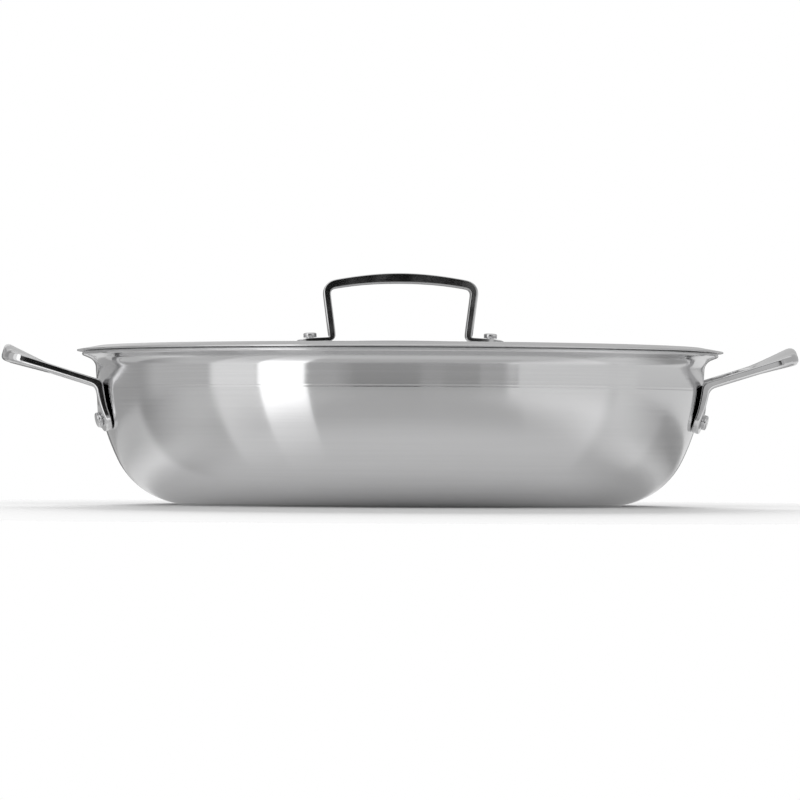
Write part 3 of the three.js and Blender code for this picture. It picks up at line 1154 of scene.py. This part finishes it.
@dataclass
class LidCover:
    """Pressed steel lid: a flange that slopes down over the lip, a step into the mouth and a low dome."""

    wall: Wall
    sheet: float = 0.8
    overhang: float = 2.2
    slope: float = radians(10)
    bend: float = 2
    step: float = 6.6
    dome_slope: float = radians(7.7)
    play: float = 1.4
    clearance: float = 0.3
    edge_round: float = 0.36
    facets: int = 224

    @property
    def radius(self) -> float:
        """Radius of the edge."""
        return self.wall.lip_edge.x + self.overhang

    @property
    def edge(self) -> Vector:
        """Middle of the sheet at the edge.

        Returns:
            The point in radius and height.
        """
        crest = self.wall.lip_edge - outward(self.wall.lip_rise) * self.wall.depth
        seat = crest.y + self.clearance + self.sheet / 2 / cos(self.slope)
        return Vector((self.radius, seat - (self.radius - crest.x) * tan(self.slope)))

    @property
    def skirt_radius(self) -> float:
        """Radius of the step that keeps the lid in the mouth."""
        return self.wall.at(self.wall.band_top).at.x - self.wall.depth - self.play

    @property
    def crest_centre(self) -> Vector:
        """Centre of the bend from the flange to the step.

        Returns:
            The point in radius and height.
        """
        x = self.skirt_radius + self.bend
        rise = (self.radius - x - self.bend * sin(self.slope)) * tan(self.slope)
        return Vector((x, self.edge.y + rise - self.bend * cos(self.slope)))

    @property
    def groove_centre(self) -> Vector:
        """Centre of the bend from the step to the dome."""
        return Vector((self.skirt_radius - self.bend, self.crest_centre.y + 2 * self.bend - self.step))

    @property
    def dome_edge(self) -> Vector:
        """Point where the dome starts."""
        return self.groove_centre + outward(-self.dome_slope) * self.bend

    @property
    def dome_radius(self) -> float:
        """Radius of the dome."""
        return self.dome_edge.x / sin(self.dome_slope)

    @property
    def dome_centre(self) -> float:
        """Height of the centre of the dome."""
        return self.dome_edge.y - self.dome_radius * cos(self.dome_slope)

    def dome_top(self, distance: float) -> float:
        """Return the height of the top of the dome at a distance from the axis."""
        return self.dome_centre + sqrt((self.dome_radius + self.sheet / 2) ** 2 - distance**2)

    def points(self) -> list[FacePoint]:
        """Set out the middle of the sheet.

        Returns:
            Its points, from near the edge to the axis.
        """
        points = []
        for share in shares(LID_BEND_STEPS):
            angle = lerp(-self.slope, pi / 2, share)
            points.append(FacePoint(self.crest_centre - outward(angle) * self.bend, angle))
        for share in shares(LID_BEND_STEPS):
            angle = lerp(pi / 2, -self.dome_slope, share)
            points.append(FacePoint(self.groove_centre + outward(angle) * self.bend, angle))
        for share in shares(DOME_STEPS)[1:]:
            angle = self.dome_slope * (1 - share)
            rise = self.dome_centre + self.dome_radius * cos(angle)
            points.append(FacePoint(Vector((self.dome_radius * sin(angle), rise)), -angle))
        return points

    def outline(self) -> list[Vector]:
        """Set out the lid's outline.

        Returns:
            Its points, from the axis under the lid, round its edge and back over it.
        """
        half = self.sheet / 2
        points = self.points()
        over = [point.at - outward(point.angle) * half for point in points]
        under = [point.at + outward(point.angle) * half for point in points]
        way, out = along(-self.slope), outward(-self.slope)
        inset = self.edge - way * self.edge_round
        rim = []
        for share in shares(LID_EDGE_STEPS):
            turn = lerp(0, pi, share)
            rim.append(inset + out * half * cos(turn) + way * self.edge_round * sin(turn))
        return under[::-1] + rim + over

    def build(self) -> None:
        """Turn the lid and dress it."""
        cover = turn_outline("lid_plate", self.outline(), self.facets)
        dress(cover, LID_STEEL.material())
        install(cover, LID_BODY, "lid_steel", "lid_cover")


class StrapPoint(NamedTuple):
    """Point of the lid handle's strap in X and Z, with the sizes of the strap there."""

    at: Vector
    width: float
    thickness: float
    edge: float
    low_edge: float


@dataclass
class LidBail:
    """Cast strap handle of the lid, with a riveted foot at each end."""

    cover: LidCover
    rivet: Rivet = field(default_factory=lambda: Rivet(1.8, 3.3, 2.4, 3.4, 1.1, rim_share=0.72))
    clearance: float = 0.3
    leg_reach: float = 33.9
    leg_lean: float = 3.5
    foot_length: float = 17.8
    rivet_inset: float = 6.7
    rise: float = 33.8
    arch: float = 4
    heel: float = 2.2
    corner: float = 5.0
    width: float = 13
    tip_thickness: float = 0.9
    foot_thickness: float = 1.9
    leg_thickness: float = 3.6
    bar_thickness: float = 5.0
    foot_edge: float = 0.2
    leg_edge: float = 0.8
    leg_low_edge: float = 0.35
    bar_edge: float = 0.3
    bar_low_edge: float = 0.5
    foot_round: float = radians(80)
    button_gap: float = 0.35

    @property
    def rivet_reach(self) -> float:
        """Distance of a rivet from the axis."""
        return self.leg_reach + self.foot_length - self.rivet_inset

    @property
    def shoulder_reach(self) -> float:
        """Distance from the axis of the corner between a leg and the bar."""
        return self.leg_reach + self.leg_lean

    @property
    def foot_lean(self) -> float:
        """Angle that the lid falls at under a rivet."""
        return asin(self.rivet_reach / (self.cover.dome_radius + self.cover.sheet / 2))

    def on_foot(self, reach: float, thickness: float) -> Vector:
        """Find the middle of a foot.

        Args:
            reach: Distance from the axis.
            thickness: Thickness of the foot there.

        Returns:
            The point in X and Z.
        """
        seat = Vector((self.rivet_reach, self.cover.dome_top(self.rivet_reach)))
        slid = seat + along(-self.foot_lean) * ((reach - self.rivet_reach) / cos(self.foot_lean))
        return slid + along(pi / 2 - self.foot_lean) * (self.clearance + thickness / 2)

    def bar_height(self, x: float) -> float:
        """Return the height of the middle of the bar at a distance from the axis."""
        middle = self.cover.dome_top(0) + self.rise - self.bar_thickness / 2
        return middle - self.arch * (x / self.shoulder_reach) ** 2

    def path(self) -> list[StrapPoint]:
        """Set out half of the strap.

        Returns:
            Its points, from the tip of a foot to the middle of the bar.
        """

        def curve(start: Vector, pull: Vector, end: Vector, share: float) -> Vector:
            """Return the point a share of the way along a bend that a third point pulls out."""
            return start.lerp(pull, share).lerp(pull.lerp(end, share), share)

        heel = self.on_foot(self.leg_reach, self.foot_thickness)
        shoulder = Vector((self.shoulder_reach, self.bar_height(self.shoulder_reach)))
        leg = (shoulder - heel).normalized()
        heel_start = self.on_foot(self.leg_reach + self.heel, self.foot_thickness)
        heel_end = heel + leg * self.heel
        corner_start = shoulder - leg * self.corner
        corner_x = self.shoulder_reach - self.corner
        corner_end = Vector((corner_x, self.bar_height(corner_x)))
        path = []
        for share in shares(FOOT_STEPS):
            turn = self.foot_round * (1 - share)
            thickness = lerp(self.tip_thickness, self.foot_thickness, share)
            at = self.on_foot(self.rivet_reach + self.rivet_inset * sin(turn), thickness)
            width = self.width * sqrt(cos(turn))
            path.append(StrapPoint(at, width, thickness, self.foot_edge, self.foot_edge))
        for share in shares(BEND_STEPS):
            at = curve(heel_start, heel, heel_end, share)
            thickness = lerp(self.foot_thickness, self.leg_thickness, share)
            edge = lerp(self.foot_edge, self.leg_edge, share)
            low_edge = lerp(self.foot_edge, self.leg_low_edge, share)
            path.append(StrapPoint(at, self.width, thickness, edge, low_edge))
        for share in LEG_STOPS:
            at = heel_end.lerp(corner_start, share)
            path.append(StrapPoint(at, self.width, self.leg_thickness, self.leg_edge, self.leg_low_edge))
        half_thickness = (self.leg_thickness + self.bar_thickness) / 2
        for share in shares(LOOP_STEPS):
            at = curve(corner_start, shoulder, corner_end, share)
            thickness = lerp(self.leg_thickness, half_thickness, share)
            edge = lerp(self.leg_edge, self.bar_edge, share)
            low_edge = lerp(self.leg_low_edge, self.bar_low_edge, share)
            path.append(StrapPoint(at, self.width, thickness, edge, low_edge))
        for share in shares(BEND_STEPS)[1:]:
            x = corner_x * (1 - share)
            at = Vector((x, self.bar_height(x)))
            thickness = lerp(half_thickness, self.bar_thickness, ease(share))
            path.append(StrapPoint(at, self.width, thickness, self.bar_edge, self.bar_low_edge))
        return path

    def stations(self) -> list[Station]:
        """Set out the whole strap.

        Returns:
            Its stations, from foot to foot.
        """
        path = self.path()
        half = []
        for index, (at, *sizes) in enumerate(path):
            before = path[max(index - 1, 0)].at
            after = path[index + 1].at if index + 1 < len(path) else Vector((-before.x, before.y))
            way = (after - before).normalized()
            up = Vector((way.y, 0, -way.x))
            middle = Vector((at.x, 0, at.y))
            half.append(Station(middle, Vector((0, 1, 0)), up, *sizes))
        return both_halves(half, Vector((-1, 1, 1)))

    def rivet_place(self, sign: int) -> Matrix:
        """Place a rivet.

        Args:
            sign: Side of X that it is on.

        Returns:
            Its placing.
        """
        normal = Vector((sign * sin(self.foot_lean), 0, cos(self.foot_lean)))
        foot = Vector((sign * self.rivet_reach, 0, self.cover.dome_top(self.rivet_reach)))
        return standing(foot + normal * (2 * self.clearance + self.foot_thickness), normal)

    def build(self) -> None:
        """Make the strap and its rivets and dress them."""
        strap = loft("lid_bail", self.stations())
        dress(strap, HANDLE_STEEL.material())
        install(strap, LID_BODY, "handle_steel", "lid_handle")
        grip = 2 * self.clearance + self.foot_thickness + self.cover.sheet + self.button_gap
        places = {"bail_rivet_left": self.rivet_place(-1), "bail_rivet_right": self.rivet_place(1)}
        rivet_steel = RIVET_STEEL.material()
        for piece in place_copies(self.rivet.model(grip), places):
            dress(piece, rivet_steel)
            install(piece, LID_BODY, "rivet_steel", piece.name.replace("bail_rivet", "lid_rivet"))


@dataclass(frozen=True)
class LightPanel:
    """Part of the studio that gives an even light, seen from the pan.

    Attributes:
        name: What it is.
        left: Yaw of its left end in degrees, from the front to the right.
        right: Yaw of its right end.
        low: Height of its lower edge in degrees over the horizon.
        high: Height of its upper edge.
        level: Brightness, where 1 is white.
        soft: Width of its soft edge in degrees.
    """

    name: str
    left: float
    right: float
    low: float
    high: float
    level: float
    soft: float


@dataclass(frozen=True)
class PaintedTableWedge:
    """Wedge of the table with painted light or painted shade that only glossy rays see, standing in for a
    panel of the studio as the lower wall shows it.

    Attributes:
        name: What it is.
        start: Point that the wedge opens from.
        left: Yaw of its left side in degrees, from the front to the right.
        right: Yaw of its right side.
        soft: Width of its soft sides in degrees.
        near: Distance from the start where it sets in.
        far: Distance from the start where it is whole.
        level: Painted light that it adds to the table, or, below 0, the share of the table's tone that its
            painted shade takes.
    """

    name: str
    start: tuple[float, float, float]
    left: float
    right: float
    soft: float
    near: float
    far: float
    level: float

    def add(self, board: NodeBoard, point: bpy.types.NodeSocket, light: object) -> bpy.types.NodeSocket:
        """Add the wedge's painted light or painted shade to the table.

        Args:
            board: Nodes of the table's material.
            point: Point of the table.
            light: Painted light, or share of the table's tone, without the wedge.

        Returns:
            The same with the wedge's painted light or painted shade.
        """
        start = Vector(self.start) * MM
        parts = board.add("ShaderNodeSeparateXYZ")
        board.feed(parts.inputs[0], point)
        x, y, _ = parts.outputs
        yaw = board.math("ARCTAN2", board.math("SUBTRACT", x, start.x), board.math("SUBTRACT", start.y, y))
        wide = board.window(yaw, radians(self.left), radians(self.right), radians(self.soft))
        level = board.span(board.distance(point, start), self.near * MM, self.far * MM, 0, self.level)
        return board.math("MULTIPLY_ADD", wide, level, light)


@dataclass
class Studio:
    """Pale table with painted light and painted shade that only glossy rays see, soft light and the camera.
    """

    table_facets: int = 160
    table_radius: float = 430
    table_shift: float = -200
    table_grey: float = 0.77
    table_white: float = 0.78
    # Painted glow that glossy rays alone see on the table, in a ring round the pan, and where it lies
    painted_glow_level: float = 0.24
    painted_glow_centre: tuple[float, float, float] = (0, -30, 0)
    painted_glow_reach: tuple[float, float] = (94, 178)
    painted_glow_soft: float = 60
    # Painted shade: share of the table's tone that glossy rays see towards the back, and where it falls off
    painted_back_share: float = 0.66
    painted_back_reach: tuple[float, float] = (-120, 40)
    back_level: float = 0.75
    top_level: float = 0.82
    top_reach: tuple[float, float] = (radians(40), radians(60))
    lamp_height: float = radians(17)
    lamp_spread: float = radians(24)
    lamp_power: float = 5.8
    lens: float = 225
    sensor: float = 36
    eye: tuple[float, float, float] = (-104.7, -2497.8, 27.5)
    aim: tuple[float, float, float] = (0, 0, 52.5)
    roll: float = radians(0.26)
    panels: tuple[LightPanel, ...] = (
        LightPanel("left_floor", -168, 0, -90, -1, 0.43, 6),
        LightPanel("right_floor", 0, 168, -90, -1, 0.8, 6),
        LightPanel("left_room", -168, -30, -1, 42, 0.35, 6),
        LightPanel("right_room", 30, 168, -1, 42, 0.5, 6),
        LightPanel("left_curtain", -190, -150, 14, 34, 0.55, 6),
        LightPanel("right_curtain", 166, 190, 4, 34, 0.55, 6),
        LightPanel("left_flag", -190, -168, -5, 4, 0.2, 3),
        LightPanel("right_flag", 168, 190, -5, 4, 0.2, 3),
        LightPanel("left_wall", -112, -76, -60, 40, 0.6, 12),
        LightPanel("left_fill", -78, -57, -60, 40, 1.0, 4),
        LightPanel("right_fill", 40, 98, -60, 10, 0.78, 6),
        LightPanel("front_screen", -38.4, 27.6, -60, 4, 0.37, 0.6),
        LightPanel("front_curtain", -38.4, 27.6, 4, 14, 0.06, 0.6),
        LightPanel("left_screen", -38.4, -24, -60, 4, 0.54, 8),
        LightPanel("right_screen", 27.6, 42.4, -60, 25, 0.49, 0.6),
        LightPanel("right_card", 5, 14, -2, 5, 0.6, 1),
        LightPanel("camera_gap", -20, 5, -1.5, 5, 0.01, 1),
        LightPanel("left_softbox", -57.3, -38.3, -28, 50, 1.5, 0.6),
    )
    # Wedges of painted light and painted shade on the table, which glossy rays alone see
    painted_wedges: tuple[PaintedTableWedge, ...] = (
        PaintedTableWedge("softbox_light", (-7, -93, 0), -57.3, -38.3, 0.6, 60, 230, 0.86),
        PaintedTableWedge("fill_light", (-24, -104, 0), -78, -57.3, 3, 50, 100, 0.08),
        PaintedTableWedge("screen_shade", (4, -79, 0), -38.3, 37, 4, 235, 345, -0.54),
        PaintedTableWedge("left_shade", (-67, -113, 0), -122, -78, 6, 30, 80, -0.3),
        PaintedTableWedge("fill_shade", (-24, -104, 0), -78, -57.3, 3, 120, 250, -0.12),
        PaintedTableWedge("wing_shade", (60, -113, 0), 36, 88, 6, 140, 260, -0.18),
        PaintedTableWedge("right_light", (60, -113, 0), 34, 120, 6, 50, 110, 0.08),
        PaintedTableWedge("right_shade", (60, -113, 0), 85, 150, 10, 20, 70, -0.24),
    )

    def lay_table(self) -> None:
        """Lay the round pale table that the pan stands on, with painted light and painted shade that only
        glossy rays see.
        """
        deselect_all()
        place = (0, self.table_shift * MM, 0)
        bpy.ops.mesh.primitive_circle_add(
            vertices=self.table_facets,
            radius=self.table_radius * MM,
            fill_type="NGON",
            location=place,
        )
        table = bpy.context.object
        table.name = "pale_table"
        material = bpy.data.materials.new("pale_table")
        material.use_nodes = True
        board = NodeBoard(material.node_tree)
        path = board.add("ShaderNodeLightPath")
        glossy = path.outputs["Is Glossy Ray"]
        point = board.add("ShaderNodeNewGeometry").outputs["Position"]
        # Painted shade and painted glow of the table reach glossy rays alone; the camera sees the plain
        # table
        share, lift = self.painted_table_light(board, point)
        share = board.math("MULTIPLY_ADD", glossy, board.math("SUBTRACT", share, 1), 1)
        painted_shade_grey = board.math("MULTIPLY", share, self.table_grey)
        white = board.math("SUBTRACT", self.table_white, painted_shade_grey)
        paint = board.add("ShaderNodeBsdfDiffuse")
        tone = board.math("MULTIPLY_ADD", path.outputs["Is Camera Ray"], white, painted_shade_grey)
        board.feed(paint.inputs["Color"], tone)
        # Painted glow: the table gives off light to glossy rays, though it is no lamp
        painted_glow_shader = board.add("ShaderNodeEmission")
        board.feed(painted_glow_shader.inputs["Color"], (1, 1, 1, 1))
        board.feed(painted_glow_shader.inputs["Strength"], board.math("MULTIPLY", glossy, lift))
        both = board.add("ShaderNodeAddShader")
        board.feed(both.inputs[0], paint.outputs[0])
        board.feed(both.inputs[1], painted_glow_shader.outputs[0])
        output = board.add("ShaderNodeOutputMaterial")
        board.feed(output.inputs["Surface"], both.outputs[0])
        dress(table, material)

    def painted_table_light(
        self, board: NodeBoard, point: bpy.types.NodeSocket
    ) -> tuple[bpy.types.NodeSocket, bpy.types.NodeSocket]:
        """Work out the painted shade and painted light that the metal sees on the table.

        Args:
            board: Nodes of the table's material.
            point: Point of the table.

        Returns:
            Share of the table's own tone that its painted shade leaves, and the painted light that is added
            to it.
        """
        parts = board.add("ShaderNodeSeparateXYZ")
        board.feed(parts.inputs[0], point)
        # Painted shade: the table's tone falls off towards the back for glossy rays
        front, back = (reach * MM for reach in self.painted_back_reach)
        share = board.span(parts.outputs[1], front, back, 1, self.painted_back_share)
        # Painted glow in a ring round the pan
        away = board.distance(point, Vector(self.painted_glow_centre) * MM)
        near, far = (reach * MM for reach in self.painted_glow_reach)
        ring = board.window(away, near, far, self.painted_glow_soft * MM)
        lift = board.math("MULTIPLY", ring, self.painted_glow_level)
        for wedge in self.painted_wedges:
            if wedge.level < 0:
                share = wedge.add(board, point, share)
            else:
                lift = wedge.add(board, point, lift)
        return share, lift

    def light_room(self) -> None:
        """Light the room with its walls, panels and one soft lamp over the back of the table."""
        world = bpy.data.worlds.new("pale_studio")
        world.use_nodes = True
        bpy.context.scene.world = world
        board = NodeBoard(world.node_tree)
        parts = board.add("ShaderNodeSeparateXYZ")
        board.feed(parts.inputs[0], board.add("ShaderNodeTexCoord").outputs["Generated"])
        x, y, z = parts.outputs
        yaw = board.math("ARCTAN2", x, board.math("MULTIPLY", y, -1))
        height = board.math("ARCSINE", z)
        level = board.span(height, *self.top_reach, self.back_level, self.top_level)
        for panel in self.panels:
            soft = radians(panel.soft)
            wide = board.window(yaw, radians(panel.left), radians(panel.right), soft)
            tall = board.window(height, radians(panel.low), radians(panel.high), soft)
            inside = board.math("MULTIPLY", wide, tall)
            level = board.math("MULTIPLY_ADD", inside, board.math("SUBTRACT", panel.level, level), level)
        seen = board.add("ShaderNodeLightPath").outputs["Is Camera Ray"]
        shown = board.math("MULTIPLY_ADD", seen, board.math("SUBTRACT", 1.0, level), level)
        light = board.add("ShaderNodeBackground")
        board.feed(light.inputs["Color"], (1, 1, 1, 1))
        board.feed(light.inputs["Strength"], shown)
        output = board.add("ShaderNodeOutputWorld")
        board.feed(output.inputs["Surface"], light.outputs[0])
        deselect_all()
        turn = (self.lamp_height - pi / 2, 0, 0)
        bpy.ops.object.light_add(type="SUN", rotation=turn)
        lamp = bpy.context.object
        lamp.name = "back_lamp"
        lamp.data.angle = self.lamp_spread
        lamp.data.energy = self.lamp_power
        lamp.visible_glossy = False

    def set_camera(self) -> None:
        """Stand the camera in front of the pan, a little over its base."""
        deselect_all()
        bpy.ops.object.camera_add()
        camera = bpy.context.object
        camera.name = "front_camera"
        camera.data.lens = self.lens
        camera.data.sensor_width = self.sensor
        eye, aim = Vector(self.eye) * MM, Vector(self.aim) * MM
        look = (aim - eye).to_track_quat("-Z", "Y")
        camera.location = eye
        camera.rotation_euler = (look @ Quaternion((0, 0, 1), self.roll)).to_euler()
        bpy.context.scene.camera = camera

    def build(self) -> None:
        """Set up the whole studio."""
        self.set_camera()
        self.lay_table()
        self.light_room()
        bpy.context.scene.view_settings.view_transform = "Standard"


def main() -> None:
    """Build the pan, its lid and the studio, in order."""
    logging.basicConfig(level=logging.INFO, format="%(name)s: %(message)s")
    wall = Wall()
    cover = LidCover(wall)
    PanVessel(wall).build()
    SideHandles(wall).build()
    cover.build()
    LidBail(cover).build()
    Studio().build()


if __name__ == "__main__":
    main()
